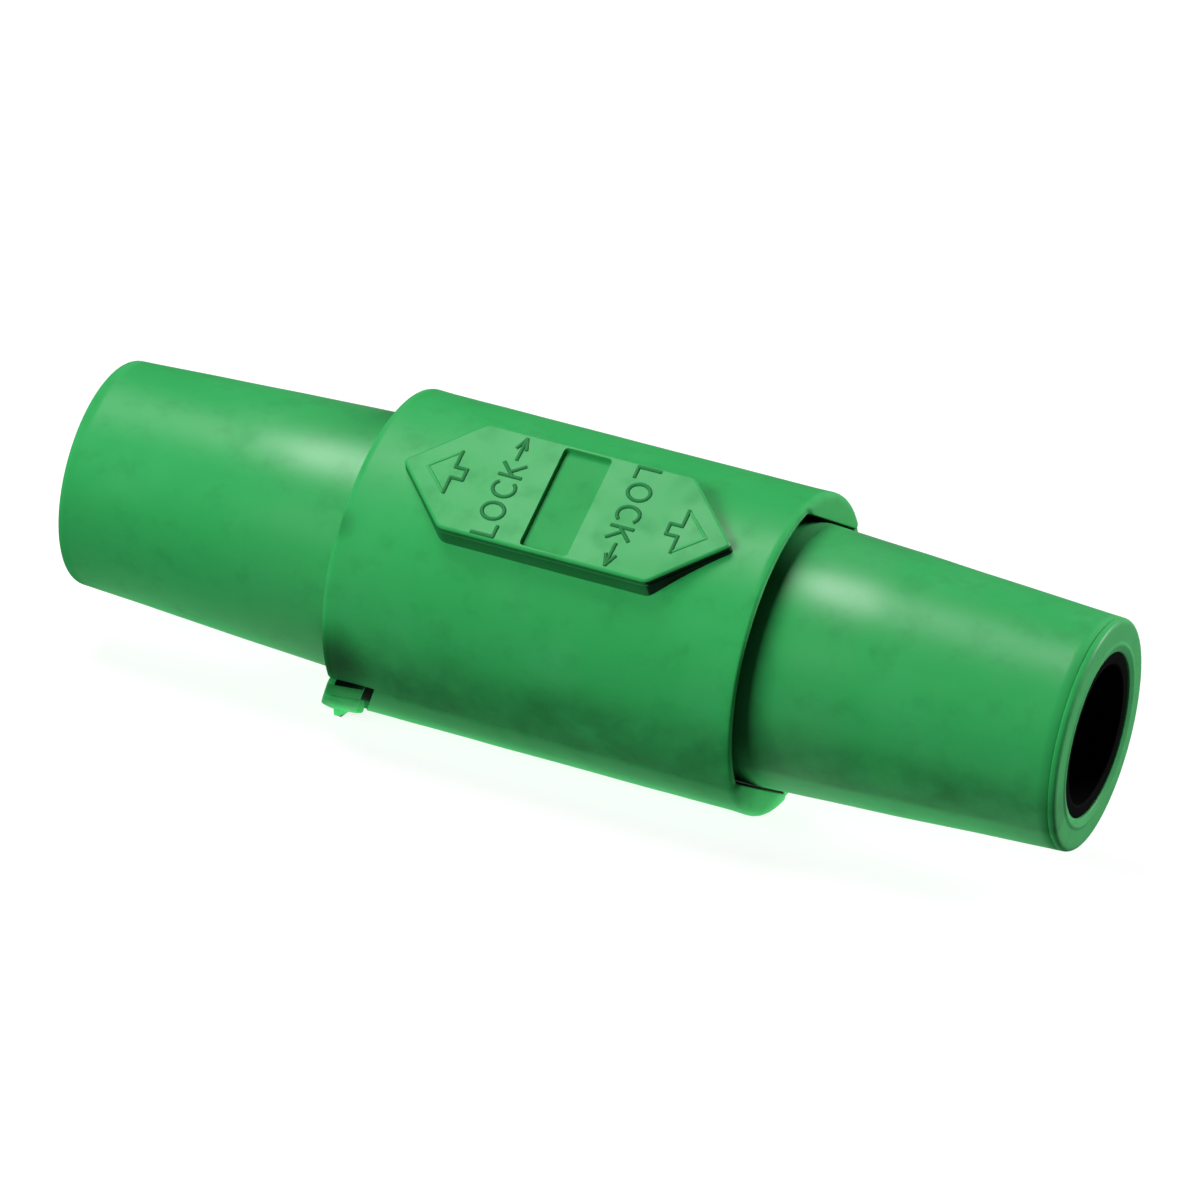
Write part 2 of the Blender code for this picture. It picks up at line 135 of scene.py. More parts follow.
def tooling_group():
    """Fine rings or lines left by a tool, with faint stains, as two masks."""
    group = bpy.data.node_groups.new("tool_marks", "ShaderNodeTree")
    group.interface.new_socket("Stretch", in_out="INPUT", socket_type="NodeSocketVector")
    group.interface.new_socket("Marks", in_out="OUTPUT", socket_type="NodeSocketFloat")
    group.interface.new_socket("Stains", in_out="OUTPUT", socket_type="NodeSocketFloat")
    nodes, links = group.nodes, group.links
    given, out = nodes.new("NodeGroupInput"), nodes.new("NodeGroupOutput")
    place = nodes.new("ShaderNodeTexCoord")
    stretch = nodes.new("ShaderNodeVectorMath")
    stretch.operation = "MULTIPLY"
    links.new(place.outputs["Object"], stretch.inputs[0])
    links.new(given.outputs["Stretch"], stretch.inputs[1])
    marks = nodes.new("ShaderNodeTexNoise")
    marks.inputs["Scale"].default_value = 1.0
    marks.inputs["Detail"].default_value = 3.0
    links.new(stretch.outputs["Vector"], marks.inputs["Vector"])
    links.new(marks.outputs[0], out.inputs["Marks"])
    stains = nodes.new("ShaderNodeTexNoise")
    stains.inputs["Scale"].default_value = 180.0
    stains.inputs["Detail"].default_value = 5.0
    links.new(place.outputs["Object"], stains.inputs["Vector"])
    links.new(stains.outputs[0], out.inputs["Stains"])
    return group


TOOL_MARKS = tooling_group()


def tooled_finish(name, stretch, light, dark, shine, metallic, relief):
    """A material whose tint follows the stains, and whose shine and relief follow the marks."""
    material = bpy.data.materials.new(name)
    material.use_nodes = True
    nodes, links = material.node_tree.nodes, material.node_tree.links
    shader = shader_of(material)
    shader.inputs["Metallic"].default_value = metallic
    masks = nodes.new("ShaderNodeGroup")
    masks.node_tree = TOOL_MARKS
    masks.inputs["Stretch"].default_value = stretch
    tint = nodes.new("ShaderNodeMix")
    tint.data_type = "RGBA"
    tint.inputs["A"].default_value = (*light, 1)
    tint.inputs["B"].default_value = (*dark, 1)
    stain = nodes.new("ShaderNodeMapRange")
    stain.inputs["From Min"].default_value = 0.35
    stain.inputs["From Max"].default_value = 0.75
    links.new(masks.outputs["Stains"], stain.inputs["Value"])
    links.new(stain.outputs[0], tint.inputs["Factor"])
    links.new(tint.outputs["Result"], shader.inputs["Base Color"])
    gloss = nodes.new("ShaderNodeMapRange")
    gloss.inputs["To Min"].default_value, gloss.inputs["To Max"].default_value = shine
    links.new(masks.outputs["Marks"], gloss.inputs["Value"])
    links.new(gloss.outputs[0], shader.inputs["Roughness"])
    bump = nodes.new("ShaderNodeBump")
    bump.inputs["Distance"].default_value = relief
    links.new(masks.outputs["Marks"], bump.inputs["Height"])
    links.new(bump.outputs["Normal"], shader.inputs["Normal"])
    return material


turned_brass = tooled_finish("turned_brass", stretch=(2600, 60, 60), light=(0.66, 0.47, 0.20),
                             dark=(0.42, 0.27, 0.10), shine=(0.2, 0.42), metallic=1.0, relief=0.000006)
bar_end = eased_outline([
    (BORE_BOTTOM - DRILL_CONE, 0, 0), (BORE_BOTTOM, BORE_RADIUS, 0), (BAR_END - BAR_EDGE, BORE_RADIUS, 0),
    (BAR_END, BORE_RADIUS + BAR_EDGE, 0.15), (BAR_END, BAR_RADIUS - BAR_EDGE, 0.15),
    (BAR_END - BAR_EDGE, BAR_RADIUS, 0), (FLANGE_HALF, BAR_RADIUS, 0), (FLANGE_HALF, FLANGE_RADIUS, 0.2)], 3)
bar = turned([Vector((-p.x, p.y)) for p in bar_end] + bar_end[::-1], 144, closed=False)
contact_skin = piece("contact_skin", bar, turned_brass, "contact_bar", crease=30)
for left in (False, True):
    drill = turned([(-PIN_HOLE_HALF, 0), (-PIN_HOLE_HALF, PIN_HOLE_RADIUS),
                    (PIN_HOLE_HALF, PIN_HOLE_RADIUS), (PIN_HOLE_HALF, 0)], 64, closed=False)
    bmesh.ops.transform(drill, verts=drill.verts, matrix=ACROSS_BORE)
    cut_away(contact_skin, placed_mesh("pin_hole", drill, left), "EXACT")

# Cam pins
# Two ground steel dowels driven across the brass, with eased ends. The plug's cam groove turns
# on to them and pulls the joint tight, which leaves fine scratches across them.
PIN_RADIUS = 2.0
PIN_HALF = 4.4
PIN_EASE = 0.35
ground_steel = tooled_finish("ground_steel", stretch=(300, 2400, 2400), light=(0.56, 0.56, 0.57),
                             dark=(0.36, 0.36, 0.37), shine=(0.16, 0.36), metallic=1.0, relief=0.000003)
for side, left in ENDS:
    pin = turned(eased_outline([(-PIN_HALF, 0, 0), (-PIN_HALF, PIN_RADIUS, PIN_EASE),
                                (PIN_HALF, PIN_RADIUS, PIN_EASE), (PIN_HALF, 0, 0)], 4), 64, closed=False)
    bmesh.ops.transform(pin, verts=pin.verts, matrix=ACROSS_BORE)
    piece("pin_skin_" + side, pin, ground_steel, "cam_pin_" + side, left=left)

# Guard rings
# Black nylon rings moulded with eased edges and pushed into the mouths in front of the brass,
# so that no finger reaches live metal. Their skin is matt and slightly uneven, and is painted
# darker and less shiny than nylon, as painted shade for the depth of the bore.
RING_BORE = 9.5
RING_BACK = 61.0
RING_FRONT = 72.3
RING_SEAT = (71.2, 10.95)
RING_FLARE = (71.4, 11.2)
black_nylon_and_bore_shade = tooled_finish("black_nylon_ring_and_bore_shade", stretch=(900, 900, 900), light=(0.0006, 0.0007, 0.0006),
                            dark=(0.0003, 0.0003, 0.0003), shine=(0.65, 0.85), metallic=0.0, relief=0.000008)
# Near-black colour and almost no shine: black nylon with painted shade of the deep bore.
shader_of(black_nylon_and_bore_shade).inputs["Specular IOR Level"].default_value = 0.02
for side, left in ENDS:
    ring = turned(eased_outline([(RING_BACK, RING_BORE, 0.1), (RING_BACK, RING_SEAT[1], 0.1), (*RING_SEAT, 0),
                                 (*RING_FLARE, 0), (RING_FRONT, RING_FLARE[1], 0.05),
                                 (RING_FRONT, RING_BORE, 0.4)], 4), 180)
    piece("guard_skin_" + side, ring, black_nylon_and_bore_shade, "guard_ring_" + side, left=left)


# Noses
# Two copies of one green rubber moulding, turned end for end: a tapered tube with a lip round its
# mouth and a grooved root that the sleeve grips. The left one also has a key with a small catch,
# which stands in a notch of the sleeve's rim. The rubber is coloured all through and satin.
NOSE_GREEN = (0.025, 0.325, 0.08)
# Painted light: the key and its catch take a lighter green than the nose they are moulded with.
KEY_LIT_GREEN = (0.032, 0.37, 0.09)
# Painted shade: a nearly black green for the rib behind the key and the key's side by its root.
GAP_SHADE_COLOUR = (0.001, 0.004, 0.002)


def moulded_skin_and_shade_group():
    """Mould grain, low waves, rubbed patches and painted shade of the rubber, as colour and masks."""
    group = bpy.data.node_groups.new("moulded_skin_and_shade", "ShaderNodeTree")
    for name, kind in (("Base", "NodeSocketColor"), ("Grain", "NodeSocketFloat"),
                       ("Dull", "NodeSocketFloat")):
        group.interface.new_socket(name, in_out="INPUT", socket_type=kind)
    for name, kind in (("Color", "NodeSocketColor"), ("Roughness", "NodeSocketFloat"),
                       ("Height", "NodeSocketFloat")):
        group.interface.new_socket(name, in_out="OUTPUT", socket_type=kind)
    nodes, links = group.nodes, group.links
    given, out = nodes.new("NodeGroupInput"), nodes.new("NodeGroupOutput")
    place = nodes.new("ShaderNodeTexCoord")

    def mottle(scale, detail, rough=0.5):
        node = nodes.new("ShaderNodeTexNoise")
        for name, value in (("Scale", scale), ("Detail", detail), ("Roughness", rough)):
            node.inputs[name].default_value = value
        links.new(place.outputs["Object"], node.inputs["Vector"])
        return node.outputs[0]

    def ranged(value, low, high, to_low, to_high):
        node = nodes.new("ShaderNodeMapRange")
        for name, number in (("From Min", low), ("From Max", high),
                             ("To Min", to_low), ("To Max", to_high)):
            node.inputs[name].default_value = number
        links.new(value, node.inputs["Value"])
        return node.outputs[0]

    def eased_range(value, low, high):
        result = ranged(value, low, high, 0.0, 1.0)
        result.node.interpolation_type = "SMOOTHSTEP"
        return result

    def joined(operation, first, second):
        node = nodes.new("ShaderNodeMath")
        node.operation = operation
        for socket, value in zip(node.inputs, (first, second)):
            if isinstance(value, float):
                socket.default_value = value
            else:
                links.new(value, socket)
        return node.outputs[0]

    def tinted(colour, mask, blend, shade):
        node = nodes.new("ShaderNodeMix")
        node.data_type, node.blend_type = "RGBA", blend
        node.inputs["B"].default_value = (*shade, 1)
        links.new(mask, node.inputs["Factor"])
        links.new(colour, node.inputs["A"])
        return node.outputs["Result"]

    clouds = mottle(70.0, 4.0, 0.55)
    patches = mottle(240.0, 5.0, 0.6)
    waves = mottle(160.0, 2.0)
    specks = mottle(2600.0, 2.0)
    colour = tinted(given.outputs["Base"], ranged(clouds, 0.5, 0.8, 0.0, 0.2), "MIX", (0.09, 0.42, 0.18))
    colour = tinted(colour, ranged(patches, 0.52, 0.72, 0.0, 0.36), "MULTIPLY", (0.55, 0.64, 0.58))

    # Painted shade: a mottled dark band lies low on the side in view, from the sleeve's left rim to the right
    # tip.
    spot = nodes.new("ShaderNodeSeparateXYZ")
    links.new(place.outputs["Object"], spot.inputs[0])
    turn = joined("ARCTAN2", joined("MULTIPLY", spot.outputs["Y"], -1.0),
                  joined("SUBTRACT", spot.outputs["Z"], AXIS_HEIGHT / 1000))
    band = joined("MULTIPLY", eased_range(turn, 1.6, 1.95), eased_range(turn, 2.29, 2.2))
    band = joined("MULTIPLY", band, eased_range(spot.outputs["X"], -0.034, -0.026))
    painted_shade_band = joined("MULTIPLY", band, ranged(mottle(110.0, 5.0, 0.65), 0.35, 0.65, 0.25, 0.85))
    colour = tinted(colour, painted_shade_band, "MULTIPLY", (0.45, 0.5, 0.48))

    # Painted shade: two darker blots lie at the left rim, one above the key and a small one higher up.
    for centre, reach, heart, strength in (((-0.0285, -0.0201, 0.0128), 0.0075, 0.001, 1.0),
                                           ((-0.0295, -0.0196, 0.0322), 0.003, 0.0005, 0.45)):
        distance = nodes.new("ShaderNodeVectorMath")
        distance.operation = "DISTANCE"
        distance.inputs[1].default_value = centre
        links.new(place.outputs["Object"], distance.inputs[0])
        rim_shade = joined("MULTIPLY", eased_range(distance.outputs["Value"], reach, heart), strength)
        colour = tinted(colour, rim_shade, "MULTIPLY", (0.3, 0.36, 0.33))
    links.new(colour, out.inputs["Color"])

    # The sleeve's rims and the tips of the noses are worn dull.
    along = joined("ABSOLUTE", spot.outputs["X"], 0.0)
    rims = joined("MULTIPLY", eased_range(along, 0.0284, 0.029), eased_range(along, 0.0304, 0.0301))
    tips = eased_range(along, 0.0706, 0.0714)
    rough = joined("ADD", ranged(clouds, 0.3, 0.7, 0.38, 0.5), ranged(patches, 0.4, 0.75, 0.0, 0.08))
    rough = joined("ADD", rough, joined("MULTIPLY", joined("ADD", rims, tips), 0.4))
    links.new(joined("ADD", rough, given.outputs["Dull"]), out.inputs["Roughness"])
    relief = joined("MULTIPLY", specks, given.outputs["Grain"])
    relief = joined("ADD", relief, joined("MULTIPLY", waves, 0.00003))
    relief = joined("ADD", relief, joined("MULTIPLY", patches, 0.000012))
    links.new(relief, out.inputs["Height"])
    return group


MOULDED_SKIN_AND_SHADE = moulded_skin_and_shade_group()


def moulded_rubber(name, base, grain, dull=0.0, specular=0.35):
    """Green rubber in one base colour, with a depth of grain in metres and an added dullness."""
    material = bpy.data.materials.new(name)
    material.use_nodes = True
    nodes, links = material.node_tree.nodes, material.node_tree.links
    shader = shader_of(material)
    skin = nodes.new("ShaderNodeGroup")
    skin.node_tree = MOULDED_SKIN_AND_SHADE
    skin.inputs["Base"].default_value = (*base, 1)
    skin.inputs["Grain"].default_value = grain
    skin.inputs["Dull"].default_value = dull
    shader.inputs["Specular IOR Level"].default_value = specular
    bump = nodes.new("ShaderNodeBump")
    bump.inputs["Distance"].default_value = 1.0
    links.new(skin.outputs["Height"], bump.inputs["Height"])
    links.new(skin.outputs["Color"], shader.inputs["Base Color"])
    links.new(skin.outputs["Roughness"], shader.inputs["Roughness"])
    links.new(bump.outputs["Normal"], shader.inputs["Normal"])
    return material


def with_handled_film(material):
    """Add the greasy film of handling, which lies on the noses close to the sleeve."""
    nodes, links = material.node_tree.nodes, material.node_tree.links
    place, along = nodes.new("ShaderNodeTexCoord"), nodes.new("ShaderNodeSeparateXYZ")
    links.new(place.outputs["Object"], along.inputs[0])
    half = 0.05
    spread = nodes.new("ShaderNodeMapRange")
    spread.inputs["From Min"].default_value, spread.inputs["From Max"].default_value = -half, half
    links.new(along.outputs["X"], spread.inputs["Value"])
    film = nodes.new("ShaderNodeValToRGB")
    film.color_ramp.interpolation = "EASE"
    film.color_ramp.elements.remove(film.color_ramp.elements[1])
    film.color_ramp.elements[0].color = (0, 0, 0, 1)
    for x, wet in ((-0.045, 0.3), (-0.038, 0.8), (-0.031, 0.8), (0.0, 0.0), (0.031, 0.1), (0.036, 1.0),
                   (0.04, 1.0), (0.046, 0.2)):
        film.color_ramp.elements.new((x + half) / (2 * half)).color = (wet, wet, wet, 1)
    links.new(spread.outputs[0], film.inputs[0])
    links.new(film.outputs["Color"], shader_of(material).inputs["Coat Weight"])
    shader_of(material).inputs["Coat Roughness"].default_value = 0.36
    return material


def eased(value, low, high):
    t = min(1.0, max(0.0, (value - low) / (high - low)))
    return t * t * (3 - 2 * t)


def divided(outline, longest):
    """The same closed outline with no side longer than longest."""
    points = []
    for point, after in zip(outline, outline[1:] + outline[:1]):
        parts = max(1, math.ceil((after - point).length / longest))
        points += [point.lerp(after, j / parts) for j in range(parts)]
    return points


def joined_to(whole, part):
    """Move a bmesh into another one, with its faces' material numbers."""
    carrier = bpy.data.meshes.new("carrier")
    part.to_mesh(carrier)
    part.free()
    whole.from_mesh(carrier)
    bpy.data.meshes.remove(carrier)


# The key, its root and its notch are drawn flat, with X along the adapter, Y round the sleeve and
# Z as the distance from the axis, and then wrapped round. The key's back edge runs slantwise.
KEY_TURN = math.radians(-107.5)
KEY_WRAP_RADIUS = 22.25
KEY_HALF = 7.2
KEY_CORNER = 24.2
KEY_SLANT = (0.934, 0.358)
KEY_FLOOR, TONGUE_FLOOR = 17.4, 20.4
ROOT_DEPTH = 2.7
KEY_TOP, KEY_RISE = 22.48, 0.1
KEY_EASE = 0.35
KEY_GROOVE, KEY_GROOVE_DEPTH = 3.6, 0.35
WRAP_STEPS = [i * 0.9 for i in range(-7, 8)]
GROOVE_STEPS = [KEY_GROOVE + off for off in (-0.5, -0.25, 0.25, 0.5)]
ROOT_HALF, ROOT_TOP = 6.9, 21.0
CATCH_CENTRE, CATCH_HALF = -4.27, 1.5
# Slots of the left nose: 1 is painted shade in the gap by the key, 2 is the key's lighter copy of the rubber
# as painted light.
GAP_SHADE_SLOT, KEY_RUBBER = 1, 2


def cut_across(mesh_data, places):
    for place in places:
        geometry = mesh_data.verts[:] + mesh_data.edges[:] + mesh_data.faces[:]
        bmesh.ops.bisect_plane(mesh_data, geom=geometry, plane_co=(0, place, 0), plane_no=(0, 1, 0))


def wrapped(mesh_data):
    """Wrap a flat block round the axis at the place of the key."""
    for vert in mesh_data.verts:
        angle = KEY_TURN + vert.co.y / KEY_WRAP_RADIUS
        vert.co = (vert.co.x, -vert.co.z * math.sin(angle), vert.co.z * math.cos(angle))
    bmesh.ops.recalc_face_normals(mesh_data, faces=mesh_data.faces)
    return mesh_data


def swept(verts, way):
    """A block swept from one face through the vertices."""
    block = bmesh.new()
    face = block.faces.new([block.verts.new(vert) for vert in verts])
    sweep = bmesh.ops.extrude_face_region(block, geom=[face], use_keep_orig=True)
    moved = [item for item in sweep["geom"] if isinstance(item, bmesh.types.BMVert)]
    bmesh.ops.translate(block, verts=moved, vec=way)
    bmesh.ops.recalc_face_normals(block, faces=block.faces)
    return block


def key_floor(x, y):
    """The key's underside, which steps up beyond its root."""
    past_root = (x - KEY_CORNER) * KEY_SLANT[0] + (y - KEY_HALF) * KEY_SLANT[1]
    return KEY_FLOOR if past_root < ROOT_DEPTH else TONGUE_FLOOR


def plan_block(outline, top, floor, cuts=()):
    """A flat block with an (x, y) outline, a top given by x, and a floor given by x and y."""
    block = swept([(x, y, 0) for x, y in outline], (0, 0, 1))
    for x in cuts:
        bmesh.ops.bisect_plane(block, geom=block.verts[:] + block.edges[:] + block.faces[:],
                               plane_co=(x, KEY_HALF, 0), plane_no=(*KEY_SLANT, 0))
    for vert in block.verts:
        vert.co.z = top(vert.co.x) if vert.co.z > 0.5 else floor(vert.co.x, vert.co.y)
    bmesh.ops.recalc_face_normals(block, faces=block.faces)
    return block


def key_block():
    """The key: it rises from the root, leans outwards and runs out past the rim as a thin tongue."""
    block = plan_block([(KEY_CORNER, KEY_HALF), (28.77, -4.7), (28.77, -KEY_HALF), (30.93, -KEY_HALF),
                        (32.2, 0), (29.44, KEY_HALF)],
                       lambda x: KEY_TOP + KEY_RISE * (x - KEY_CORNER), key_floor, (26.9, 28.4))
    edges = [edge for edge in block.edges if edge.calc_face_angle(0) > 0.5
             and min(vert.co.z for vert in edge.verts) > 19]
    bmesh.ops.bevel(block, geom=edges, offset=KEY_EASE, segments=4, profile=0.5, affect="EDGES",
                    material=-1)
    cut_across(block, WRAP_STEPS + GROOVE_STEPS)
    for vert in block.verts:
        if vert.co.z > 22.3 and abs(vert.co.y - KEY_GROOVE) < 0.3:
            vert.co.z -= KEY_GROOVE_DEPTH
    # Painted shade on the key's side by its root; the rest takes the key's lighter copy as painted light.
    for face in block.faces:
        centre = face.calc_center_median()
        face.material_index = GAP_SHADE_SLOT if centre.y > 6.95 and centre.x < 28.3 else KEY_RUBBER
    return wrapped(block)


def root_block():
    """The rib behind the key, which fills its notch to just under the sleeve's lip."""
    root = plan_block([(22.4, KEY_HALF), (22.4, -ROOT_HALF), (28.7, -ROOT_HALF), (28.7, -4.6),
                       (24.5, KEY_HALF)], lambda x: ROOT_TOP, lambda x, y: KEY_FLOOR)
    cut_across(root, WRAP_STEPS)
    # Painted shade: the whole rib takes the nearly black copy of the rubber.
    for face in root.faces:
        face.material_index = GAP_SHADE_SLOT
    return wrapped(root)


def catch_block():
    """The small tooth at the key's free end, narrower at its top."""
    side = [(30.1, 22.9), (31.38, 22.9), (31.38, 23.6), (31.2, 23.97), (30.9, 23.97)]
    block = swept([(x, -CATCH_HALF, r) for x, r in side], (0, 2 * CATCH_HALF, 0))
    for vert in block.verts:
        vert.co.y = vert.co.y * (0.6 if vert.co.z > 23.5 else 1) + CATCH_CENTRE
    # Painted light: the catch takes the key's lighter copy of the rubber.
    for face in block.faces:
        face.material_index = KEY_RUBBER
    return wrapped(block)


# The nose's own sizes, from its root to its mouth. Only the right tip has a line round it.
ROOT_RADIUS = 17.3
ROOT_END = 22.3
GROOVE_RADIUS, GROOVE_START, GROOVE_END = 15.9, 10.2, 13.8
FOOT_RADIUS, FOOT_END = 18.1, 29.5
TAPER_START = (44.0, 17.42)
TIP = 72.7
TIP_LINE, TIP_LINE_RADIUS = 71.66, 15.67
LIP_RADIUS, LIP_TIP = 12.8, 72.88
MOUTH_RADIUS, MOUTH_FRONT = 11.3, 72.5
NOSE_BORE = 11.25
FLANGE_ROOM = 13.25
nose_rubber = with_handled_film(moulded_rubber("green_rubber_nose", NOSE_GREEN, 0.000003))
for side, left in ENDS:
    nose = turned(divided(eased_outline([
        (2.3, NOSE_BORE, 0), (2.3, FLANGE_ROOM, 0), (0.15, FLANGE_ROOM, 0.2), (0.15, ROOT_RADIUS, 0.2),
        (GROOVE_START, ROOT_RADIUS, 0.2), (GROOVE_START, GROOVE_RADIUS, 0.2),
        (GROOVE_END, GROOVE_RADIUS, 0.2), (GROOVE_END, ROOT_RADIUS, 0.2), (ROOT_END, ROOT_RADIUS, 0),
        (ROOT_END, FOOT_RADIUS, 0.3), (FOOT_END, FOOT_RADIUS, 1.5), (*TAPER_START, 4.0),
        (71.45, 15.873, 0), (TIP_LINE, 15.86 if left else TIP_LINE_RADIUS, 0), (71.85, 15.85, 0),
        (TIP, 15.8, 0.85),
        (TIP, LIP_RADIUS, 0.15), (LIP_TIP, 12.35, 0.2), (MOUTH_FRONT, MOUTH_RADIUS, 0.15),
        (71.6, NOSE_BORE, 0)], 6), 1.4), 240)
    for vert in nose.verts:
        across = Vector((0, vert.co.y, vert.co.z))
        if vert.co.x > 29 and across.length > 15:
            wave = 0.05 * noise.noise(vert.co / 9 + Vector((0, 0, 40 * left))) - 0.04
            wave *= eased(vert.co.x, 30, 34) * eased(72.5 - vert.co.x, 0, 3)
            vert.co += across.normalized() * wave
    for block in ((root_block(), key_block(), catch_block()) if left else ()):
        joined_to(nose, block)
    nose_skin = piece("nose_skin_" + side, nose, nose_rubber, "nose_" + side, crease=45,
                      left=left)
    if left:
        # Painted shade: the nearly black copy for the gap by the key.
        nose_skin.data.materials.append(moulded_rubber("painted_shade_in_gap", GAP_SHADE_COLOUR, 0.000003, 0.4))
        # Painted light: the key's lighter copy of the rubber.
        nose_skin.data.materials.append(moulded_rubber("green_rubber_key_painted_light", KEY_LIT_GREEN, 0.000003, 0.2, 0.15))

# Centre sleeve
# One thick green rubber moulding, stretched over the roots of both noses. The pocket in each end
# is round at the sides and flat above and below the nose, which leaves two thin lips, set back a
# little, and two thick cheeks. The left rim has a notch for the key. The faces inside the pockets
# are painted nearly black, as painted shade.
SLEEVE_GREEN = (0.025, 0.33, 0.08)
POCKET_SHADE_COLOUR = (0.0012, 0.01, 0.0035)
SLEEVE_RADIUS = 22.23
SLEEVE_END, LIP_SET_BACK = 30.0, 0.55
POCKET_RADIUS, POCKET_FLAT, POCKET_FLOOR = 21.1, 18.4, 22.0
POCKET_TURN = math.radians(29.5)
HOLD_RADIUS = 17.6
RIB_RADIUS, RIB_START, RIB_END = 16.2, 10.5, 13.5
PARTING_DEPTH = 0.09
NOTCH_HALF, NOTCH_FLOOR, NOTCH_TOP, NOTCH_REACH = 7.5, 18.0, 28.0, 40.0


def sleeve_section(angle, pocket_turn):
    """The right half of the sleeve's section at one angle from the pad, as an (x, r) outline."""
    off_lip = abs(math.sin(angle - pocket_turn))
    corner = POCKET_FLAT / POCKET_RADIUS
    cheek = eased(off_lip, corner - 0.012, corner + 0.012)
    wall = min(POCKET_RADIUS, POCKET_FLAT / max(off_lip, 0.01))
    end_face = SLEEVE_END - LIP_SET_BACK * (1 - cheek)
    section = eased_outline([
        (0, SLEEVE_RADIUS, 0), (end_face, SLEEVE_RADIUS, 0.4 + 0.8 * cheek), (end_face, wall, 0.22),
        (POCKET_FLOOR, wall, 0.4), (POCKET_FLOOR, HOLD_RADIUS, 0.15), (RIB_END, HOLD_RADIUS, 0),
        (RIB_END, RIB_RADIUS, 0.2), (RIB_START, RIB_RADIUS, 0.2), (RIB_START, HOLD_RADIUS, 0),
        (0, HOLD_RADIUS, 0)], 6)
    return [section[0].lerp(section[1], i / 24) for i in range(24)] + section[1:]


def low_waves(x, angle):
    """Waves of the moulded skin, with slanting ripples low down in front of the pad's left half."""
    at = Vector((x, 22.25 * math.sin(angle), 22.25 * math.cos(angle)))
    degrees = math.degrees(angle)
    patch = math.exp(-((x + 9) / 9) ** 2 - ((degrees - 74) / 13) ** 2)
    wave = (0.05 * noise.noise(at / 11) + 0.02 * noise.noise(at / 4)
            + 0.02 * patch * math.sin(x * 2.7 + degrees * 0.84) - 0.07)
    return wave * eased(29.0 - abs(x), 0.0, 2.5)


def lofted(rings, around=False):
    """Bridge closed rings of equal count, and close the two ends or run round to the start."""
    mesh_data = bmesh.new()
    loops = []
    for ring in rings:
        verts = [mesh_data.verts.new(point) for point in ring]
        loops.append([mesh_data.edges.new((verts[i - 1], verts[i])) for i in range(len(verts))])
    for lower, upper in zip(loops, loops[1:] + (loops[:1] if around else [])):
        bmesh.ops.bridge_loops(mesh_data, edges=lower + upper)
    for end_loop in ([] if around else [loops[0], loops[-1]]):
        bmesh.ops.edgeloop_fill(mesh_data, edges=end_loop)
    return mesh_data


sleeve_rubber = moulded_rubber("green_rubber_sleeve", SLEEVE_GREEN, 0.000004)
sections = []
beside_parting = [side * (90 + off) for side in (-1, 1) for off in (-0.4, 0.4)]
for degrees in sorted(beside_parting + list(range(-180, 180))):
    angle = math.radians(degrees)
    right_half = sleeve_section(angle, POCKET_TURN)
    left_half = [Vector((-p.x, p.y)) for p in sleeve_section(angle, -POCKET_TURN)]
    parting = PARTING_DEPTH if abs(degrees) == 90 else 0
    section = []
    for p in right_half + left_half[1:-1][::-1]:
        r = p.y + (low_waves(p.x, angle) - parting if p.y > 22.2 else 0)
        section.append((p.x, -r * math.sin(angle), r * math.cos(angle)))
    sections.append(section)
sleeve_skin = piece("sleeve_skin", lofted(sections, around=True), sleeve_rubber,
                    "centre_sleeve", crease=50)
notch = plan_block([(22.7, NOTCH_HALF), (27.38, -4.7), (27.38, -NOTCH_HALF), (NOTCH_REACH, -NOTCH_HALF),
                    (NOTCH_REACH, NOTCH_HALF)],
                   lambda x: NOTCH_TOP, lambda x, y: max(NOTCH_FLOOR, key_floor(x, y)))
cut_across(notch, [i - 7.0 for i in range(15)])
cut_away(sleeve_skin, placed_mesh("notch", wrapped(notch), left=True), "MANIFOLD")
# Painted shade: the faces inside the pockets take a nearly black copy of the rubber.
sleeve_skin.data.materials.append(moulded_rubber("painted_shade_in_pocket", POCKET_SHADE_COLOUR, 0.000004, 0.3))
for face in sleeve_skin.data.polygons:
    centre = TO_TABLE.inverted() @ face.center
    if math.hypot(centre.y, centre.z) < POCKET_RADIUS + 0.2 and 21 < abs(centre.x) < 29.2:
        face.material_index = 1

# Grip pad
# Moulded in one with the sleeve: a long flat hexagon that stands proud of the round, with an
# eased edge, and straight walls that have a shallow groove round them. The walls are painted
# darker as painted shade, and two of the slanting sides nearly black, also as painted shade. A
# shallow bare panel crosses it.
PANEL_GREEN = (0.022, 0.3, 0.072)
WALL_SHADE_GREEN = (0.011, 0.15, 0.036)
WALL_DEEP_SHADE = (0.0015, 0.012, 0.004)
PAD_TOP = 23.75
PAD_HALF_LENGTH, PAD_HALF_STRAIGHT, PAD_HALF_WIDTH = 23.75, 15.0, 8.65
PAD_EDGE = 0.45
WALL_GROOVE_DEPTH = 0.22
PANEL_HALF_LENGTH, PANEL_HALF_WIDTH, PANEL_DEPTH, PANEL_CORNER = 3.45, 8.05, 0.8, 0.7


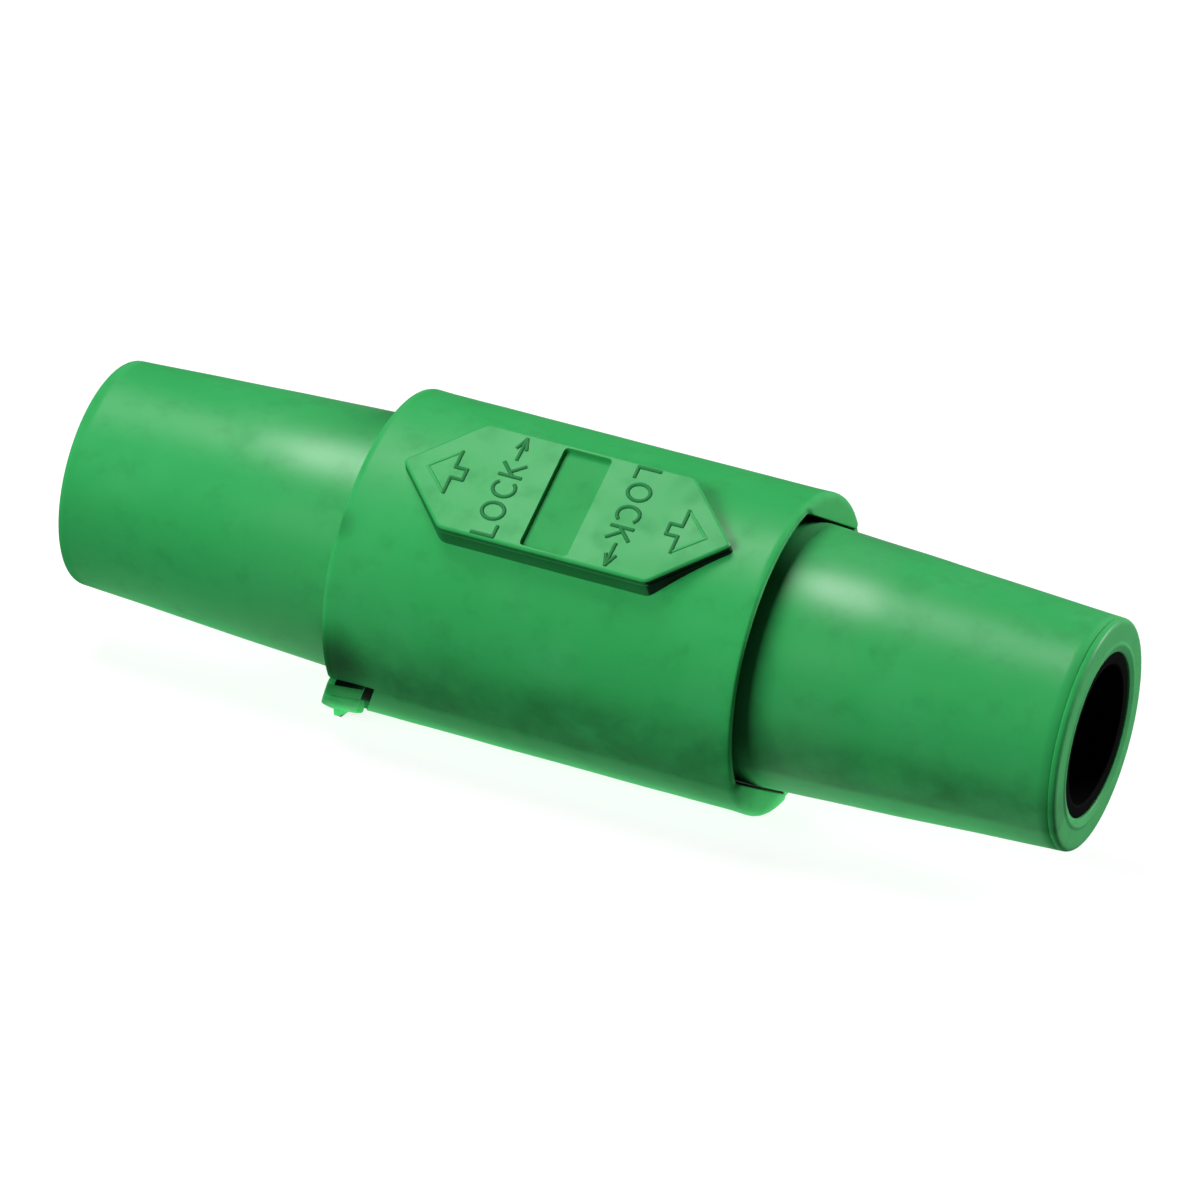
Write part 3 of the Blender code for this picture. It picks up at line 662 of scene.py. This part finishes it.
def pad_ring(spread, height):
    """The pad's outline, grown by spread, at a height that may depend on the distance across."""
    length = PAD_HALF_LENGTH + spread * 1.414
    straight = PAD_HALF_STRAIGHT + spread * 0.414
    width = PAD_HALF_WIDTH + spread
    reach = 0.75 + spread * 0.9
    outline = eased_outline([(length, 0, reach), (straight, width, reach), (-straight, width, reach),
                             (-length, 0, reach), (-straight, -width, reach), (straight, -width, reach)], 6)
    ring = []
    for i, point in enumerate(outline):
        after = outline[(i + 1) % len(outline)]
        parts = {6: 9, 13: 20, 20: 9, 27: 9, 34: 20, 41: 9}.get(i, 1)
        for j in range(parts):
            p = point.lerp(after, j / parts)
            ring.append((p.x, p.y, height(p.y)))
    return ring


def on_sleeve(lift):
    return lambda y: math.sqrt(22.19 ** 2 - y * y) + lift


def level(height):
    return lambda y: height


rings = [pad_ring(0.12, on_sleeve(-0.4)), pad_ring(0.12, on_sleeve(0.1)), pad_ring(0.0, on_sleeve(0.3)),
         pad_ring(0.0, level(PAD_TOP - 1.25)), pad_ring(-WALL_GROOVE_DEPTH, level(PAD_TOP - 1.1)),
         pad_ring(-WALL_GROOVE_DEPTH, level(PAD_TOP - 0.95)), pad_ring(0.0, level(PAD_TOP - 0.8))]
for degrees in range(0, 91, 15):
    bend = math.radians(degrees)
    rings.append(pad_ring(PAD_EDGE * (math.cos(bend) - 1), level(PAD_TOP - PAD_EDGE * (1 - math.sin(bend)))))
pad_skin = piece("pad_skin", lofted(rings), sleeve_rubber, crease=38)
panel = eased_outline([(PANEL_HALF_LENGTH, PANEL_HALF_WIDTH, PANEL_CORNER),
                       (-PANEL_HALF_LENGTH, PANEL_HALF_WIDTH, PANEL_CORNER),
                       (-PANEL_HALF_LENGTH, -PANEL_HALF_WIDTH, PANEL_CORNER),
                       (PANEL_HALF_LENGTH, -PANEL_HALF_WIDTH, PANEL_CORNER)], 5)
panel_tool = lofted([[(p.x * scale, p.y * scale, PAD_TOP + z) for p in panel]
                     for scale, z in ((0.99, -PANEL_DEPTH), (1.01, 0.6))])
cut_away(pad_skin, placed_mesh("panel", panel_tool), "MANIFOLD")
for name, colour, grain, dull in (("green_rubber_panel", PANEL_GREEN, 0.000006, 0.25),
                                  ("green_rubber_wall_painted_shade", WALL_SHADE_GREEN, 0.000004, 0.2),
                                  ("painted_deep_shade_on_wall", WALL_DEEP_SHADE, 0.000004, 0.3)):
    pad_skin.data.materials.append(moulded_rubber(name, colour, grain, dull))
# Painted shade on the walls: a darker copy of the rubber, and a nearly black one on the slanting sides at the
# near right and far left.
for face in pad_skin.data.polygons:
    centre = TO_TABLE.inverted() @ face.center
    across, along = abs(centre.y), abs(centre.x)
    if abs(centre.z - PAD_TOP + PANEL_DEPTH) < 0.05 and along < 3.6 and across < 8.2:
        face.material_index = 1
    elif centre.z < PAD_TOP - 0.35 and (along > 3.6 or across > 8.4):
        face.material_index = 3 if centre.x * centre.y < -1 and along > PAD_HALF_STRAIGHT else 2

# Raised marks
# Moulded in one with the pad: thin rounded ridges that spell a word for locking, with a small
# arrow for the turn and an outlined arrow towards the end. The right half is the left half turned
# round. The ridges are painted a little darker than the pad as painted shade, and the outlined
# arrow's head is fainter.
MARK_SHADE_GREEN = (0.012, 0.17, 0.042)
MARK_HALF_WIDTH, MARK_HEIGHT = 0.28, 0.23
FAINT_HALF_WIDTH, FAINT_HEIGHT = 0.22, 0.15
MARK_SINK = 0.04
LETTER_HEIGHT, LETTER_FOOT = 3.1, -7.25
strokes = []


def letter(at, *lines):
    """Lines of a letter whose reading direction is +Y and whose top is towards -X."""
    for line in lines:
        strokes.append([Vector((LETTER_FOOT - LETTER_HEIGHT * y, at + LETTER_HEIGHT * x)) for x, y in line])


def bowl(start, stop, steps):
    turns = [math.radians(start + (stop - start) * i / steps) for i in range(steps + 1)]
    return [(0.42 + 0.42 * math.cos(a), 0.5 + 0.5 * math.sin(a)) for a in turns]


letter(-8.0, [(0, 1), (0, 0), (0.55, 0)])
letter(-5.45, bowl(0, 360, 24))
letter(-1.75, bowl(48, 312, 18))
letter(1.6, [(0, 0), (0, 1)], [(0.6, 1), (0.03, 0.42)], [(0.2, 0.58), (0.64, 0)])
strokes += [[Vector(p) for p in line] for line in (
    ((-8.95, 4.3), (-8.85, 7.75)), ((-9.65, 6.1), (-8.85, 7.75), (-8.3, 6.1)),
    ((-16.4, -3.4), (-20.1, 0), (-16.4, 3.4), (-16.4, 0.85), (-14.7, 0.85), (-14.7, -0.85),
     (-16.4, -0.85), (-16.4, -3.4)))]


def ridge(start, stop, half_turn):
    """One straight ridge of a mark, with a round section half sunk in the pad."""
    faint = min(start.x, stop.x) < -20
    half_width, height = (FAINT_HALF_WIDTH, FAINT_HEIGHT) if faint else (MARK_HALF_WIDTH, MARK_HEIGHT)
    along = (stop - start).normalized()
    across = Vector((-along.y, along.x))
    ends = []
    for point in (start - along * 0.12, stop + along * 0.12):
        section = [(point + across * half_width * math.cos(a), height * math.sin(a))
                   for a in [math.tau * i / 12 for i in range(12)]]
        ends.append([(p.x * half_turn, p.y * half_turn, PAD_TOP - MARK_SINK + z) for p, z in section])
    made = lofted(ends)
    for face in made.faces:
        # Painted shade: all but the faint ridges take the darker copy of the rubber.
        face.material_index = 0 if faint else 1
    bmesh.ops.recalc_face_normals(made, faces=made.faces)
    return made


marks = bmesh.new()
for half_turn in (1, -1):
    for stroke in strokes:
        for start, stop in zip(stroke, stroke[1:]):
            joined_to(marks, ridge(start, stop, half_turn))
pad_marks = piece("pad_marks", marks, sleeve_rubber, crease=60)
pad_marks.data.materials.append(moulded_rubber("green_rubber_marks_painted_shade", MARK_SHADE_GREEN, 0.000004, 0.15))

# Table
# A plain pale sweep under everything, which is not part of the adapter. The camera sees it as
# white, with the adapter's own soft shadow left on it.
TABLE_HALF = 6
TABLE_GLOW, TABLE_GLOSS_GLOW = 0.84, 0.1
TABLE_TONE, TABLE_TONE_SEEN = 0.1, 0.22
sweep = bmesh.new()
bmesh.ops.create_grid(sweep, x_segments=1, y_segments=1, size=TABLE_HALF)
table_mesh = bpy.data.meshes.new("table")
sweep.to_mesh(table_mesh)
sweep.free()
table = bpy.data.objects.new("table", table_mesh)
bpy.context.collection.objects.link(table)
pale = bpy.data.materials.new("pale_table")
pale.use_nodes = True
nodes, links = pale.node_tree.nodes, pale.node_tree.links
shader = shader_of(pale)
shader.inputs["Roughness"].default_value = 0.8
shader.inputs["Specular IOR Level"].default_value = 0.2
shader.inputs["Emission Color"].default_value = (1, 1, 1, 1)
path = nodes.new("ShaderNodeLightPath")
gloss_lift = nodes.new("ShaderNodeMath")
gloss_lift.operation = "MULTIPLY"
gloss_lift.inputs[1].default_value = TABLE_GLOSS_GLOW
links.new(path.outputs["Is Glossy Ray"], gloss_lift.inputs[0])
lift = nodes.new("ShaderNodeMath")
lift.operation = "MULTIPLY_ADD"
lift.inputs[1].default_value = TABLE_GLOW
links.new(path.outputs["Is Camera Ray"], lift.inputs[0])
links.new(gloss_lift.outputs[0], lift.inputs[2])
tone = nodes.new("ShaderNodeMapRange")
tone.inputs["To Min"].default_value, tone.inputs["To Max"].default_value = TABLE_TONE, TABLE_TONE_SEEN
links.new(path.outputs["Is Camera Ray"], tone.inputs["Value"])
links.new(tone.outputs[0], shader.inputs["Base Color"])
links.new(lift.outputs[0], shader.inputs["Emission Strength"])
table_mesh.materials.append(pale)

# Light
# A soft box high on the left gives the broad highlight along the noses and on the pad. A larger
# one in front lights the sides without glare, a third past the right end lights its mouth, and
# a faint strip on the table stands for what the table throws back. A dim room fills the rest.
ROOM_GLOW, ROOM_GLOW_SEEN = 0.05, 1.0
LIT_SPOT = Vector((0, 0, 0.02))
STRIP_SIZE, STRIP_POWER = (0.142, 0.022), 0.021
room = bpy.data.worlds.new("room")
bpy.context.scene.world = room
room.use_nodes = True
nodes, links = room.node_tree.nodes, room.node_tree.links
path = nodes.new("ShaderNodeLightPath")
glow = nodes.new("ShaderNodeMapRange")
glow.inputs["To Min"].default_value, glow.inputs["To Max"].default_value = ROOM_GLOW, ROOM_GLOW_SEEN
nodes["Background"].inputs["Color"].default_value = (1, 1, 1, 1)
links.new(path.outputs["Is Camera Ray"], glow.inputs["Value"])
links.new(glow.outputs[0], nodes["Background"].inputs["Strength"])


def soft_box(name, size, power):
    lamp = bpy.data.lights.new(name, "AREA")
    lamp.shape = "RECTANGLE"
    lamp.size, lamp.size_y = size
    lamp.energy = power
    stand = bpy.data.objects.new(name, lamp)
    bpy.context.collection.objects.link(stand)
    return stand


for name, spot, size, power in (("top_box", (-0.34, -0.04, 0.95), (0.45, 0.45), 6.3),
                                ("front_box", (-0.58, -1.12, 0.56), (0.8, 0.6), 18.4),
                                ("end_box", (0.8, 0.8, 0.45), (0.4, 0.4), 17)):
    stand = soft_box(name, size, power)
    stand.location = spot
    stand.rotation_euler = (LIT_SPOT - Vector(spot)).to_track_quat("-Z", "Y").to_euler()
    stand.visible_glossy = name != "front_box"
strip = soft_box("bounce", STRIP_SIZE, STRIP_POWER)
strip.location = (0, -0.005, 0.0004)
strip.rotation_euler = (math.pi, 0, 0)
strip.visible_camera = strip.visible_glossy = False

# Camera
# A long lens a little above the table and round to the right, rolled as in the photograph. The
# three rows are the directions of X, Y and Z as the camera sees them: right, down and away.
along_axis = Vector((0.91154, 0.24324, -0.33156))
across_pad = Vector((0.25782, -0.96619, 0))
out_of_pad = Vector((-0.32035, -0.08548, -0.94344))
PAD_TURN = math.radians(29.5) + LEAN
LENS_MM, SENSOR_MM = 242.06, 36
middle_seen = Vector((-0.00087, 0.00014, 1.081))
rows = (along_axis,
        across_pad * math.cos(PAD_TURN) - out_of_pad * math.sin(PAD_TURN),
        out_of_pad * math.cos(PAD_TURN) + across_pad * math.sin(PAD_TURN))
spot = Vector((0, 0, AXIS_HEIGHT / 1000)) - Vector([middle_seen.dot(row) for row in rows])
lens = bpy.data.cameras.new("camera")
lens.lens = LENS_MM
lens.sensor_width = SENSOR_MM
lens.clip_end = 50
camera = bpy.data.objects.new("camera", lens)
camera.matrix_world = Matrix([[row.x, -row.y, -row.z, spot[i]] for i, row in enumerate(rows)]
                             + [[0, 0, 0, 1]])
bpy.context.collection.objects.link(camera)
bpy.context.scene.camera = camera
bpy.context.scene.view_settings.view_transform = "Standard"
